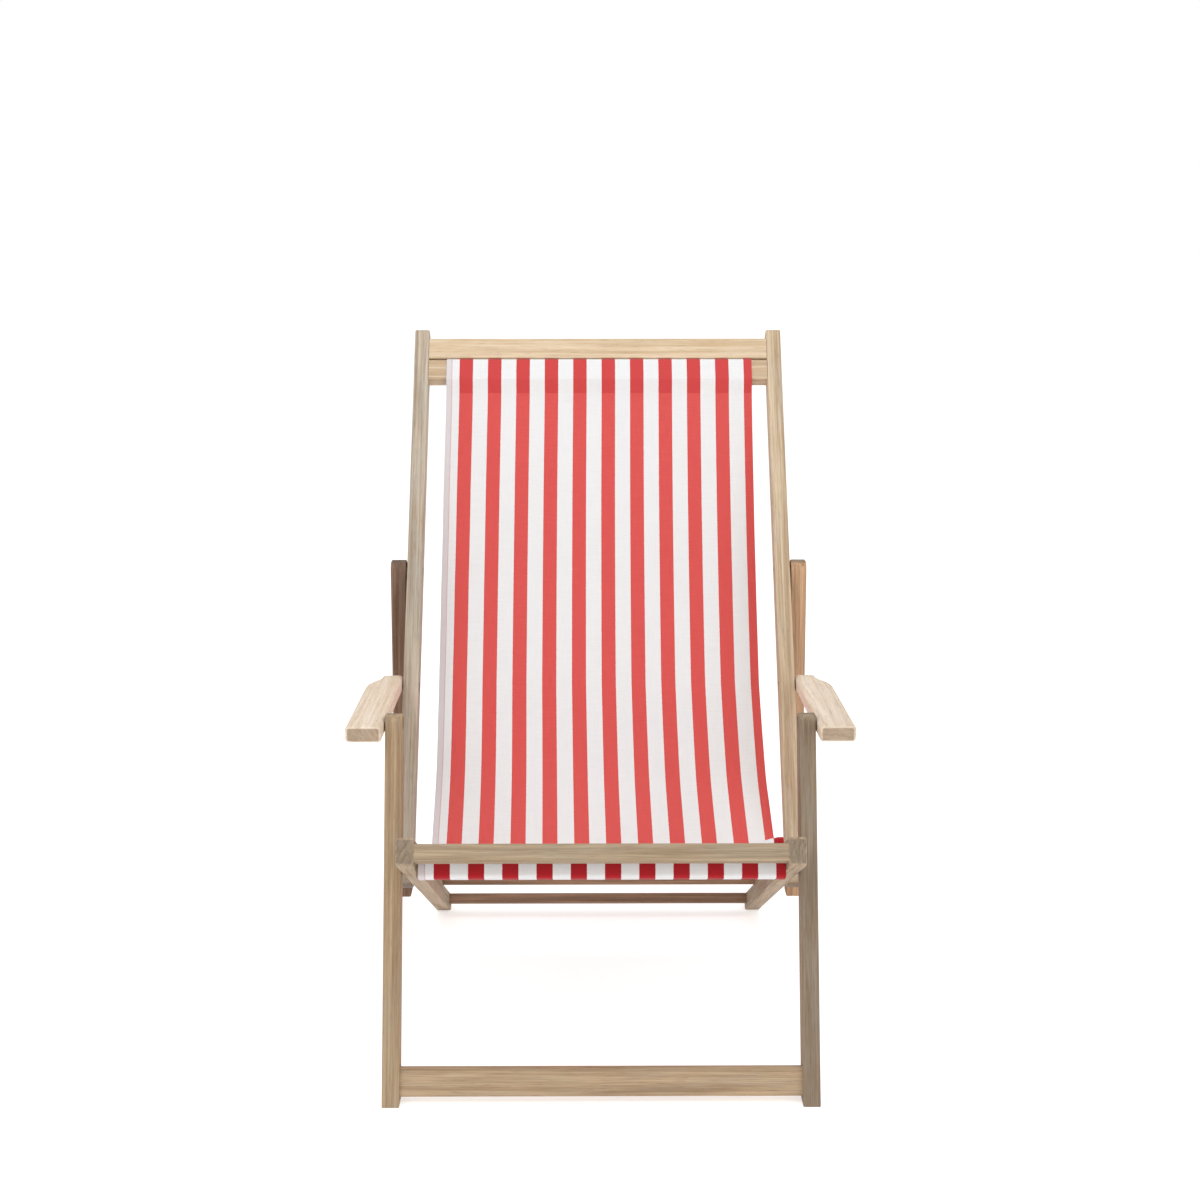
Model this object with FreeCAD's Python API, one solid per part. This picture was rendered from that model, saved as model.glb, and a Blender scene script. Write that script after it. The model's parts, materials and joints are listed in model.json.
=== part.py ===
# Folding deck chair: a striped sling hung in a wooden folding frame with armrests.
#
# Seen from its left side the chair is five flat frames that turn on bolts along X:
#   leg frame (two front legs, bottom rail), seat frame (two notched rails, three cross rails),
#   back frame (two stiles, two cross rails), prop frame (two stiles, cross rail),
#   and two armrests.
# Side-view points are (y, z) with y growing to the rear and z up, measured from the
# front foot's front edge. export() moves every solid so that the origin is the
# middle of the chair's bounding box, on the floor. Millimetres.

import FreeCAD, Part
import math
import os

V = FreeCAD.Vector

# --- driving dimensions -----------------------------------------------------
STOCK_WIDTH = 21.0         # every stick, measured along X
STOCK_DEPTH = 34.0         # every stick, measured across its length in side view
RAIL_DEPTH = 22.0          # thickness of a cross rail
RAIL_HEIGHT = 32.5         # height of a cross rail
WASHER_GAP = 1.5           # air between two sticks that turn on each other
SEAT_INNER_X = 220.5       # half the clear width between the seat rails
EDGE_ROUND = 2.0           # eased long edges of the sticks
END_ROUND = 3.0            # plain ends of the sticks, in side view
LEG_TOP_ROUND = 13.0
PROP_TOP_ROUND = 13.0
STILE_FOOT_ROUND = 16.5
SEAT_FRONT_ROUND = 6.0
FABRIC_RAIL_ROUND = 4.0

LEG_ANGLE = 71.3           # slope of each side-view member, from +Y towards +Z
SEAT_ANGLE = -22.93
BACK_ANGLE = 53.13
PROP_TILT = 0.7            # the prop leans this much, foot forward
ARM_ANGLE = -3.5

SEAT_PIVOT = (110.8, 274.3)        # leg and seat rail
LEG_ABOVE_PIVOT = 180.5
LEG_BELOW_PIVOT = 310.0            # runs below the floor and is cut level
SEAT_BEFORE_PIVOT = 121.0
BACK_PIVOT_ALONG = 200.9           # seat pivot to back pivot, along the seat rail
SEAT_BEHIND_PIVOT = 680.0
BACK_BELOW_PIVOT = 18.0
BACK_ABOVE_PIVOT = 819.8
PROP_PIVOT_ALONG = 436.2           # back pivot to prop pivot, along the back stile
PROP_ABOVE_PIVOT = 18.0
PROP_BELOW_PIVOT = 463.0
ARM_FRONT_PIVOT = (164.9, 434.0)
ARM_REAR_PIVOT = (454.9, 408.0)
ARM_FRONT_Y = 108.0
ARM_REAR_Y = 468.0
ARM_TOP_Z = 444.0                  # top of the armrest at its front end
ARM_THICK = 19.5
ARM_WIDTH = 44.0
ARM_REAR_WIDTH = 28.0
ARM_CURVE_FROM_Y = 386.0           # the outer edge swings in between these
ARM_CURVE_TO_Y = 463.0
ARM_CURVE_EASE = 0.45              # how far the curve keeps straight at each end
ARM_EDGE_ROUND = 4.5
ARM_CORNER_ROUND = 6.0

# Cross rails: how far the near face is from the named point, along the member,
# and how far the rail's middle is from the member's middle line.
LEG_RAIL_SPAN = (7.0, 42.0)        # bottom rail of the leg frame, along the legs
LEG_RAIL_SET_BACK = 6.0            # from the legs' front faces
LEG_RAIL_SCREWS = (-8.0, 8.0)      # from the rail's middle, along the legs
TOP_RAIL_FROM_END = 15.2
RAIL_SPACING = 2.4                 # air between the top rail and the fabric rail
FRONT_RAIL_IN = 1.0                # behind the front ends of the seat rails
FRONT_RAIL_HEIGHT = 21.0
FRONT_RAIL_DEPTH = 34.0
FRONT_RAIL_DROP = 0.75
SEAT_FABRIC_RAIL_BACK = 44.4       # behind the front ends of the seat rails
SEAT_FABRIC_RAIL_TOP = 4.5         # above the seat rails' middle line
SEAT_FABRIC_RAIL_HEIGHT = 31.0
SEAT_FABRIC_SCREW_DROP = 6.0
REAR_RAIL_ALONG = 429.0            # behind the back pivot
REAR_RAIL_SIZE = (22.0, 14.5)
REAR_RAIL_DROP = 1.25
PROP_RAIL_ABOVE_FOOT = 17.5
PROP_RAIL_SIZE = (22.0, 34.0)
PROP_RAIL_SCREWS = (9.0, 25.0)     # from the rail's upper face, down the prop

# Sawteeth in each seat rail's rear top edge hold the prop's cross rail. Positions count
# behind the back pivot. The leaning prop bears forward, on a notch's upright front wall;
# the notch's level floor runs out at the tail's top.
NOTCH_START = 257.65
NOTCH_PITCH = 36.0
NOTCH_COUNT = 4
NOTCH_FLOOR = 4.07                 # at its front, above the seat rail's middle line
TAIL_TOP = 7.0                     # the rail is lower from the first notch on

# Hardware
BOLT_R = 3.0
BOLT_CLEARANCE = 0.05
HEAD_R = 7.0
HEAD_HEIGHT = 3.6
RECESS_R = 7.8                     # counterbore that hides a head
RECESS_DEPTH = 4.2
WASHER_R = 9.0
WASHER_THICK = 1.3
INSERT_R = 5.0
INSERT_DEPTH = 22.0
INSERT_END = 3.0                   # its closed end
INSERT_SPARE = 1.0                 # air between the bolt's tip and that end
SCREW_R = 2.2
SCREW_HEAD_R = 4.6
SCREW_HEAD_DEPTH = 2.6
SCREW_LENGTH = 52.0
SCREW_SINK = 0.6                   # how far the head sits below the face
FIT = 0.02                         # between a fixed fastener and its hole

# Sling
SLING_HALF_WIDTH = 218.0
SLING_SHIFT_X = 1.0
SLING_THICK = 1.0
SLEEVE_GAP = 0.3
# Side view of the hanging cloth, from the seat's fabric rail to the back's.
SEAT_CLOTH = [(62.8, 300.4), (120.0, 268.0), (190.0, 237.5), (250.0, 224.5), (300.0, 228.5)]
BACK_CLOTH = [(301.0, 228.8), (356.0, 248.0), (418.0, 285.0), (474.0, 342.6), (524.0, 398.0),
              (567.0, 456.5), (604.0, 517.0), (667.3, 641.4), (698.3, 709.7), (728.9, 777.6)]

# --- derived places ---------------------------------------------------------
SEAT_OUTER_X = SEAT_INNER_X + STOCK_WIDTH
LEG_INNER_X = SEAT_OUTER_X + WASHER_GAP
LEG_OUTER_X = LEG_INNER_X + STOCK_WIDTH
PROP_INNER_X = LEG_OUTER_X + WASHER_GAP
PROP_OUTER_X = PROP_INNER_X + STOCK_WIDTH
HALF_DEPTH = STOCK_DEPTH / 2
WASHER_PLAY = (WASHER_GAP - WASHER_THICK) / 2
REACH = 400.0              # longer than half the chair's width: bores run right through


def direction(angle):
    """Unit side-view step (y, z) at an angle from +Y towards +Z."""
    a = math.radians(angle)
    return math.cos(a), math.sin(a)


def step(point, angle, along, up=0.0):
    """A side-view point, moved along a member and then square to it."""
    c, s = direction(angle)
    return point[0] + c * along - s * up, point[1] + s * along + c * up


BACK_PIVOT = step(SEAT_PIVOT, SEAT_ANGLE, BACK_PIVOT_ALONG)
PROP_PIVOT = step(BACK_PIVOT, BACK_ANGLE, PROP_PIVOT_ALONG)
PROP_ANGLE = -90.0 - PROP_TILT


# --- shapes -----------------------------------------------------------------
def placed(shape, point, angle):
    """Turns a shape drawn along +Y to a member's slope and sets it at a point."""
    out = shape.copy()
    out.rotate(V(0, 0, 0), V(1, 0, 0), angle)
    out.translate(V(0, point[0], point[1]))
    return out


def round_end(box, y_end, radius):
    """Rounds a stick's end in side view."""
    ends = [
        e for e in box.Edges
        if abs(e.tangentAt(e.FirstParameter).x) > 0.9 and abs(e.CenterOfMass.y - y_end) < 0.1
    ]
    return box.makeFillet(radius, ends)


def stick(x_low, point, angle, before, after, round_before=END_ROUND, round_after=END_ROUND):
    """A stick of stock, through a pivot point, reaching before and after it."""
    box = Part.makeBox(
        STOCK_WIDTH, before + after, STOCK_DEPTH, V(x_low, -before, -HALF_DEPTH)
    )
    box = round_end(box, -before, round_before)
    box = round_end(box, after, round_after)
    outline = [
        e for e in box.Edges if abs(e.tangentAt(e.FirstParameter).x) < 0.5
    ]
    return placed(box.makeFillet(EDGE_ROUND, outline), point, angle)


def cross_rail(half_length, point, angle, along, low, size, radius=EDGE_ROUND):
    """A rail along X: size is (along the member, square to it), from (along, low)."""
    box = Part.makeBox(2 * half_length, size[0], size[1], V(-half_length, along, low))
    rims = [e for e in box.Edges if abs(e.tangentAt(e.FirstParameter).x) > 0.9]
    return placed(box.makeFillet(radius, rims), point, angle)


def rod(x_low, x_high, radius, point):
    return Part.makeCylinder(radius, x_high - x_low, V(x_low, point[0], point[1]), V(1, 0, 0))


def both_sides(shape):
    """A shape on the +X side and its mirror image on the -X side."""
    return [shape, shape.mirror(V(0, 0, 0), V(1, 0, 0))]


def above_floor(shape):
    big = 3000.0
    return shape.cut(Part.makeBox(big, big, big, V(-big / 2, -big / 2, -big)))


def bored(shape, holes):
    for hole in holes:
        shape = shape.cut(hole)
    return shape


# --- hardware ---------------------------------------------------------------
def domed(x_face, radius, height, point, outward):
    """A button head: a flat disc side on x_face and a low dome away from it."""
    tip = x_face + outward * height
    sphere_r = (radius * radius + height * height) / (2 * height)
    half = radius / 2
    x_half = tip - outward * (sphere_r - math.sqrt(sphere_r * sphere_r - half * half))
    rim, crown, axis = V(x_face, radius, 0), V(tip, 0, 0), V(x_face, 0, 0)
    arc = Part.Arc(rim, V(x_half, half, 0), crown).toShape()
    sides = [Part.LineSegment(a, b).toShape() for a, b in ((crown, axis), (axis, rim))]
    head = Part.Face(Part.Wire([arc] + sides)).revolve(V(0, 0, 0), V(1, 0, 0), 360)
    head.translate(V(0, point[0], point[1]))
    return head


def bolt(x_tip, x_head, point):
    """A shank from its tip to its head's seat, and the head outside it."""
    outward = 1 if x_head > x_tip else -1
    shank = rod(min(x_tip, x_head), max(x_tip, x_head), BOLT_R, point)
    return shank.fuse(domed(x_head, HEAD_R, HEAD_HEIGHT, point, outward))


def recess(x_face, into, point):
    """A counterbore from a stick's face; into is the way in, +1 or -1 along X."""
    x_floor = x_face + into * RECESS_DEPTH
    x_mouth = x_face - into
    return rod(min(x_floor, x_mouth), max(x_floor, x_mouth), RECESS_R, point)


def washer(x_low, point, hole_r=BOLT_R + FIT):
    disc = rod(x_low, x_low + WASHER_THICK, WASHER_R, point)
    return disc.cut(rod(x_low - 1, x_low + WASHER_THICK + 1, hole_r, point))


def cap(x_face, point):
    """The cap that closes a bolt's tip, seated in the counterbore of a stick's outer face."""
    return domed(x_face - RECESS_DEPTH, HEAD_R, HEAD_HEIGHT, point, 1)


def insert(x_low, point, hole_r):
    sleeve = rod(x_low, x_low + INSERT_DEPTH, INSERT_R, point)
    return sleeve.cut(rod(x_low - 1, x_low + INSERT_DEPTH - INSERT_END, hole_r, point))


def screw(x_head, point):
    """A countersunk wood screw driven inwards from a stick's outer face."""
    cone = Part.makeCone(
        SCREW_R, SCREW_HEAD_R, SCREW_HEAD_DEPTH,
        V(x_head - SCREW_HEAD_DEPTH, point[0], point[1]), V(1, 0, 0)
    )
    return cone.fuse(rod(x_head - SCREW_LENGTH, x_head - SCREW_HEAD_DEPTH, SCREW_R, point))


def screw_hole(x_head, point):
    """The hole that a screw fills, a hair wider than the screw."""
    cone = Part.makeCone(
        SCREW_R + FIT, SCREW_HEAD_R + FIT, SCREW_HEAD_DEPTH,
        V(x_head - SCREW_HEAD_DEPTH, point[0], point[1]), V(1, 0, 0)
    )
    shank = rod(x_head - SCREW_LENGTH - FIT, x_head - SCREW_HEAD_DEPTH + 0.5, SCREW_R + FIT, point)
    rim = rod(x_head - FIT, x_head + 2, SCREW_HEAD_R + FIT, point)
    return cone.fuse(shank).fuse(rim)


def screw_set(x_face, points, rails, sticks):
    """Countersunk screws at points, on both sides: (screws, bored rails, bored sticks)."""
    x_head = x_face - SCREW_SINK
    screws = [s for p in points for s in both_sides(screw(x_head, p))]
    holes = [h for p in points for h in both_sides(screw_hole(x_head, p))]
    return (
        Part.makeCompound(screws),
        [bored(r, holes) for r in rails],
        [bored(s, holes) for s in sticks],
    )


# --- leg frame --------------------------------------------------------------
def leg_frame():
    leg = stick(
        LEG_INNER_X, SEAT_PIVOT, LEG_ANGLE, LEG_BELOW_PIVOT, LEG_ABOVE_PIVOT,
        END_ROUND, LEG_TOP_ROUND
    )
    leg = above_floor(leg)
    leg = bored(leg, [
        rod(0, REACH, BOLT_R + FIT, SEAT_PIVOT),
        rod(0, REACH, BOLT_R + FIT, ARM_FRONT_PIVOT),
        recess(LEG_INNER_X, 1, ARM_FRONT_PIVOT),
        recess(LEG_OUTER_X, -1, SEAT_PIVOT),
    ])
    foot = step(SEAT_PIVOT, LEG_ANGLE, -SEAT_PIVOT[1] / direction(LEG_ANGLE)[1])
    rail = cross_rail(
        LEG_INNER_X, foot, LEG_ANGLE, LEG_RAIL_SPAN[0], LEG_RAIL_SET_BACK - HALF_DEPTH,
        (LEG_RAIL_SPAN[1] - LEG_RAIL_SPAN[0], RAIL_DEPTH)
    )
    middle = sum(LEG_RAIL_SPAN) / 2
    points = [step(foot, LEG_ANGLE, middle + off, 0.0) for off in LEG_RAIL_SCREWS]
    screws, (rail,), legs = screw_set(LEG_OUTER_X, points, [rail], both_sides(leg))
    seat_bolt = bolt(LEG_OUTER_X - RECESS_DEPTH, SEAT_INNER_X + RECESS_DEPTH, SEAT_PIVOT)
    tip = PROP_INNER_X + INSERT_DEPTH - INSERT_END - INSERT_SPARE
    arm_bolt = bolt(tip, LEG_INNER_X + RECESS_DEPTH, ARM_FRONT_PIVOT)
    return {
        "front_leg_right": legs[0],
        "front_leg_left": legs[1],
        "leg_bottom_rail": rail,
        "leg_rail_screws": screws,
        "seat_pivot_bolts": pair(seat_bolt),
        "seat_pivot_washers": pair(washer(SEAT_OUTER_X + WASHER_PLAY, SEAT_PIVOT)),
        "seat_pivot_caps": pair(cap(LEG_OUTER_X, SEAT_PIVOT)),
        "armrest_front_bolts": pair(arm_bolt),
        "armrest_front_washers": pair(washer(LEG_OUTER_X + WASHER_PLAY, ARM_FRONT_PIVOT)),
    }


def pair(shape):
    return Part.makeCompound(both_sides(shape))


# --- seat frame -------------------------------------------------------------
SAW_TOP = HALF_DEPTH + 1.0
SLOPE = math.tan(math.radians(-SEAT_ANGLE))


def upright(along, height):
    """Where an upright line through a point, drawn along the seat rail, leaves the rail's top."""
    return along - (SAW_TOP - height) * SLOPE, SAW_TOP


def sawn_out(points, x_low, x_high):
    """A block with this outline along the seat rail, between two X positions."""
    outline = [V(x_low, along, height) for along, height in points + points[:1]]
    block = Part.Face(Part.makePolygon(outline)).extrude(V(x_high - x_low, 0, 0))
    return placed(block, BACK_PIVOT, SEAT_ANGLE)


def notch_cut(front):
    """What is sawn off a seat rail's rear top edge for one notch, and behind it to the end."""
    tread = (TAIL_TOP - NOTCH_FLOOR) / SLOPE
    points = [
        upright(front, NOTCH_FLOOR), (front, NOTCH_FLOOR),
        (front + tread, TAIL_TOP), (SEAT_BEHIND_PIVOT, TAIL_TOP), (SEAT_BEHIND_PIVOT, SAW_TOP)
    ]
    return sawn_out(points, SEAT_INNER_X - 1, SEAT_OUTER_X + 1)


def seat_frame():
    rail = stick(
        SEAT_INNER_X, SEAT_PIVOT, SEAT_ANGLE, SEAT_BEFORE_PIVOT, SEAT_BEHIND_PIVOT,
        SEAT_FRONT_ROUND
    )
    rail = above_floor(rail)
    for k in range(NOTCH_COUNT):
        rail = rail.cut(notch_cut(NOTCH_START + k * NOTCH_PITCH))
    rail = bored(rail, [
        rod(0, REACH, BOLT_R + BOLT_CLEARANCE, SEAT_PIVOT),
        rod(0, REACH, BOLT_R + FIT, BACK_PIVOT),
        recess(SEAT_INNER_X, 1, SEAT_PIVOT),
        recess(SEAT_INNER_X, 1, BACK_PIVOT),
    ])
    front_along = FRONT_RAIL_IN - SEAT_BEFORE_PIVOT
    front = cross_rail(
        SEAT_INNER_X, SEAT_PIVOT, SEAT_ANGLE, front_along,
        -FRONT_RAIL_HEIGHT / 2 - FRONT_RAIL_DROP, (FRONT_RAIL_DEPTH, FRONT_RAIL_HEIGHT)
    )
    fabric_along = SEAT_FABRIC_RAIL_BACK - SEAT_BEFORE_PIVOT
    fabric = cross_rail(
        SEAT_INNER_X, SEAT_PIVOT, SEAT_ANGLE, fabric_along,
        SEAT_FABRIC_RAIL_TOP - SEAT_FABRIC_RAIL_HEIGHT,
        (RAIL_DEPTH, SEAT_FABRIC_RAIL_HEIGHT), FABRIC_RAIL_ROUND
    )
    rear = cross_rail(
        SEAT_INNER_X, BACK_PIVOT, SEAT_ANGLE, REAR_RAIL_ALONG,
        -REAR_RAIL_SIZE[1] / 2 - REAR_RAIL_DROP, REAR_RAIL_SIZE
    )
    points = [
        step(SEAT_PIVOT, SEAT_ANGLE, front_along + FRONT_RAIL_DEPTH / 2, -FRONT_RAIL_DROP),
        step(SEAT_PIVOT, SEAT_ANGLE, fabric_along + RAIL_DEPTH / 2, -SEAT_FABRIC_SCREW_DROP),
        step(BACK_PIVOT, SEAT_ANGLE, REAR_RAIL_ALONG + RAIL_DEPTH / 2, -REAR_RAIL_DROP),
    ]
    screws, (front, fabric, rear), rails = screw_set(
        SEAT_OUTER_X, points, [front, fabric, rear], both_sides(rail)
    )
    back_bolt = bolt(LEG_OUTER_X - RECESS_DEPTH, SEAT_INNER_X + RECESS_DEPTH, BACK_PIVOT)
    return {
        "seat_rail_right": rails[0],
        "seat_rail_left": rails[1],
        "seat_front_rail": front,
        "seat_fabric_rail": fabric,
        "seat_rear_rail": rear,
        "seat_rail_screws": screws,
        "back_pivot_bolts": pair(back_bolt),
        "back_pivot_washers": pair(washer(SEAT_OUTER_X + WASHER_PLAY, BACK_PIVOT)),
        "back_pivot_caps": pair(cap(LEG_OUTER_X, BACK_PIVOT)),
    }


# --- back frame -------------------------------------------------------------
def back_rail_span(order):
    """Where the top rail (0) and the fabric rail (1) start, along the stile."""
    return BACK_ABOVE_PIVOT - TOP_RAIL_FROM_END - (order + 1) * RAIL_HEIGHT - order * RAIL_SPACING


def back_frame():
    stile = stick(
        LEG_INNER_X, BACK_PIVOT, BACK_ANGLE, BACK_BELOW_PIVOT, BACK_ABOVE_PIVOT, STILE_FOOT_ROUND
    )
    stile = bored(stile, [
        rod(0, REACH, BOLT_R + BOLT_CLEARANCE, BACK_PIVOT),
        rod(0, REACH, BOLT_R + FIT, PROP_PIVOT),
        rod(0, REACH, BOLT_R + FIT, ARM_REAR_PIVOT),
        recess(LEG_OUTER_X, -1, BACK_PIVOT),
        recess(LEG_INNER_X, 1, PROP_PIVOT),
        recess(LEG_INNER_X, 1, ARM_REAR_PIVOT),
    ])
    rails = [
        cross_rail(
            LEG_INNER_X, BACK_PIVOT, BACK_ANGLE, back_rail_span(k),
            HALF_DEPTH - RAIL_DEPTH, (RAIL_HEIGHT, RAIL_DEPTH), radius
        )
        for k, radius in ((0, EDGE_ROUND), (1, FABRIC_RAIL_ROUND))
    ]
    points = [
        step(BACK_PIVOT, BACK_ANGLE, back_rail_span(k) + RAIL_HEIGHT / 2, HALF_DEPTH - RAIL_DEPTH / 2)
        for k in (0, 1)
    ]
    screws, rails, stiles = screw_set(LEG_OUTER_X, points, rails, both_sides(stile))
    prop_bolt = bolt(PROP_OUTER_X - RECESS_DEPTH, LEG_INNER_X + RECESS_DEPTH, PROP_PIVOT)
    rear_bolt = bolt(LEG_OUTER_X + WASHER_THICK, LEG_INNER_X + RECESS_DEPTH, ARM_REAR_PIVOT)
    return {
        "back_stile_right": stiles[0],
        "back_stile_left": stiles[1],
        "back_top_rail": rails[0],
        "back_fabric_rail": rails[1],
        "back_rail_screws": screws,
        "prop_pivot_bolts": pair(prop_bolt),
        "prop_pivot_washers": pair(washer(LEG_OUTER_X + WASHER_PLAY, PROP_PIVOT)),
        "prop_pivot_caps": pair(cap(PROP_OUTER_X, PROP_PIVOT)),
        "armrest_rear_bolts": pair(rear_bolt),
        "armrest_rear_washers": pair(washer(LEG_OUTER_X + WASHER_PLAY, ARM_REAR_PIVOT)),
    }


# --- prop frame -------------------------------------------------------------
def prop_frame():
    stile = stick(
        PROP_INNER_X, PROP_PIVOT, PROP_ANGLE, PROP_ABOVE_PIVOT, PROP_BELOW_PIVOT, PROP_TOP_ROUND
    )
    stile = bored(stile, [
        rod(0, REACH, BOLT_R + BOLT_CLEARANCE, PROP_PIVOT),
        recess(PROP_OUTER_X, -1, PROP_PIVOT),
    ])
    rail_top = PROP_BELOW_PIVOT - PROP_RAIL_ABOVE_FOOT - PROP_RAIL_SIZE[1]
    rail = cross_rail(
        PROP_INNER_X, PROP_PIVOT, PROP_ANGLE, rail_top,
        -HALF_DEPTH, (PROP_RAIL_SIZE[1], PROP_RAIL_SIZE[0])
    )
    points = [
        step(PROP_PIVOT, PROP_ANGLE, rail_top + off, PROP_RAIL_SIZE[0] / 2 - HALF_DEPTH)
        for off in PROP_RAIL_SCREWS
    ]
    screws, (rail,), stiles = screw_set(PROP_OUTER_X, points, [rail], both_sides(stile))
    return {
        "prop_stile_right": stiles[0],
        "prop_stile_left": stiles[1],
        "prop_cross_rail": rail,
        "prop_rail_screws": screws,
    }


# --- armrests ---------------------------------------------------------------
def armrest_board():
    """The right armrest: a flat board whose outer edge swings in at the rear."""
    inner = PROP_INNER_X
    wide = inner + ARM_WIDTH
    narrow = inner + ARM_REAR_WIDTH
    corners = [V(narrow, ARM_REAR_Y, 0), V(inner, ARM_REAR_Y, 0), V(inner, ARM_FRONT_Y, 0),
               V(wide, ARM_FRONT_Y, 0), V(wide, ARM_CURVE_FROM_Y, 0)]
    sweep = Part.BezierCurve()
    ease = (ARM_CURVE_TO_Y - ARM_CURVE_FROM_Y) * ARM_CURVE_EASE
    sweep.setPoles([V(wide, ARM_CURVE_FROM_Y, 0), V(wide, ARM_CURVE_FROM_Y + ease, 0),
                    V(narrow, ARM_CURVE_TO_Y - ease, 0), V(narrow, ARM_CURVE_TO_Y, 0)])
    edges = [Part.LineSegment(a, b).toShape() for a, b in zip(corners, corners[1:])]
    edges.append(sweep.toShape())
    edges.append(Part.LineSegment(V(narrow, ARM_CURVE_TO_Y, 0), corners[0]).toShape())
    board = Part.Face(Part.Wire(Part.__sortEdges__(edges))).extrude(V(0, 0, ARM_THICK))
    board.translate(V(0, -ARM_FRONT_Y, -ARM_THICK))
    uprights = [
        e for e in board.Edges
        if e.Curve.TypeId == "Part::GeomLine" and abs(e.tangentAt(e.FirstParameter).z) > 0.9
        and (e.CenterOfMass.y < 1 or e.CenterOfMass.y > ARM_REAR_Y - ARM_FRONT_Y - 1)
    ]
    board = board.makeFillet(ARM_CORNER_ROUND, uprights)
    rims = [e for e in board.Edges if abs(e.BoundBox.ZLength) < 0.01]
    board = board.makeFillet(ARM_EDGE_ROUND, rims)
    return placed(board, (ARM_FRONT_Y, ARM_TOP_Z), ARM_ANGLE)


def armrests():
    inserts = [
        insert(PROP_INNER_X, ARM_FRONT_PIVOT, BOLT_R + BOLT_CLEARANCE),
        insert(PROP_INNER_X, ARM_REAR_PIVOT, BOLT_R + BOLT_CLEARANCE),
    ]
    sockets = [
        rod(PROP_INNER_X - 1, PROP_INNER_X + INSERT_DEPTH + FIT, INSERT_R + FIT, p)
        for p in (ARM_FRONT_PIVOT, ARM_REAR_PIVOT)
    ]
    board = bored(armrest_board(), sockets)
    boards = both_sides(board)
    fittings = both_sides(Part.makeCompound(inserts))
    return {
        "armrest_right": boards[0],
        "armrest_left": boards[1],
        "armrest_inserts_right": fittings[0],
        "armrest_inserts_left": fittings[1],
    }


# --- sling ------------------------------------------------------------------
def cloth_strip(points):
    """A thin strip that follows side-view points, thickened downwards."""
    lower = []
    for k, (y, z) in enumerate(points):
        a, b = points[max(k - 1, 0)], points[min(k + 1, len(points) - 1)]
        length = math.hypot(b[0] - a[0], b[1] - a[1])
        lower.append((y + SLING_THICK * (b[1] - a[1]) / length, z - SLING_THICK * (b[0] - a[0]) / length))
    curves = []
    for side in (points, lower):
        curve = Part.BSplineCurve()
        curve.interpolate([V(0, y, z) for y, z in side])
        curves.append(curve.toShape())
    ends = [
        Part.LineSegment(V(0, *points[k]), V(0, *lower[k])).toShape() for k in (0, -1)
    ]
    face = Part.Face(Part.Wire(Part.__sortEdges__(curves + ends)))
    face.translate(V(SLING_SHIFT_X - SLING_HALF_WIDTH, 0, 0))
    return face.extrude(V(2 * SLING_HALF_WIDTH, 0, 0))


def sleeve(point, angle, along, low, size, radius):
    """The cloth tube round a fabric rail."""
    grown = SLEEVE_GAP + SLING_THICK
    outer = cross_rail(
        SLING_HALF_WIDTH, point, angle, along - grown, low - grown,
        (size[0] + 2 * grown, size[1] + 2 * grown), radius + grown
    )
    inner = cross_rail(
        SLING_HALF_WIDTH + 1, point, angle, along - SLEEVE_GAP, low - SLEEVE_GAP,
        (size[0] + 2 * SLEEVE_GAP, size[1] + 2 * SLEEVE_GAP), radius + SLEEVE_GAP
    )
    tube = outer.cut(inner)
    tube.translate(V(SLING_SHIFT_X, 0, 0))
    return tube


def sling():
    front_tube = sleeve(
        SEAT_PIVOT, SEAT_ANGLE, SEAT_FABRIC_RAIL_BACK - SEAT_BEFORE_PIVOT,
        SEAT_FABRIC_RAIL_TOP - SEAT_FABRIC_RAIL_HEIGHT,
        (RAIL_DEPTH, SEAT_FABRIC_RAIL_HEIGHT), FABRIC_RAIL_ROUND
    )
    back_tube = sleeve(
        BACK_PIVOT, BACK_ANGLE, back_rail_span(1), HALF_DEPTH - RAIL_DEPTH,
        (RAIL_HEIGHT, RAIL_DEPTH), FABRIC_RAIL_ROUND
    )
    return {
        "sling_seat": cloth_strip(SEAT_CLOTH),
        "sling_back": cloth_strip(BACK_CLOTH),
        "sling_front_sleeve": front_tube,
        "sling_back_sleeve": back_tube,
    }


# --- assembly ---------------------------------------------------------------
def export():
    nodes = {}
    for make in (leg_frame, seat_frame, back_frame, prop_frame, armrests, sling):
        nodes.update(make())
    box = Part.makeCompound(list(nodes.values())).BoundBox
    shift = -(box.YMin + box.YMax) / 2
    os.makedirs("parts", exist_ok=True)
    for name, shape in nodes.items():
        shape.translate(V(0, shift, 0))
        shape.exportStep(f"parts/{name}.step")
        print(name, len(shape.Solids), shape.isValid(), round(shape.Volume))
    print("size", round(box.XLength, 2), round(box.YLength, 2), round(box.ZLength, 2),
          "floor", round(box.ZMin, 3), "shift", round(shift, 4))
    for label, p in (("seat", SEAT_PIVOT), ("back", BACK_PIVOT), ("prop", PROP_PIVOT),
                     ("arm front", ARM_FRONT_PIVOT), ("arm rear", ARM_REAR_PIVOT)):
        print(label, "pivot", round(p[0] + shift, 4), round(p[1], 4))


export()
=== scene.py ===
import json
import math

import bpy
import numpy as np
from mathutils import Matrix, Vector, noise


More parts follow.
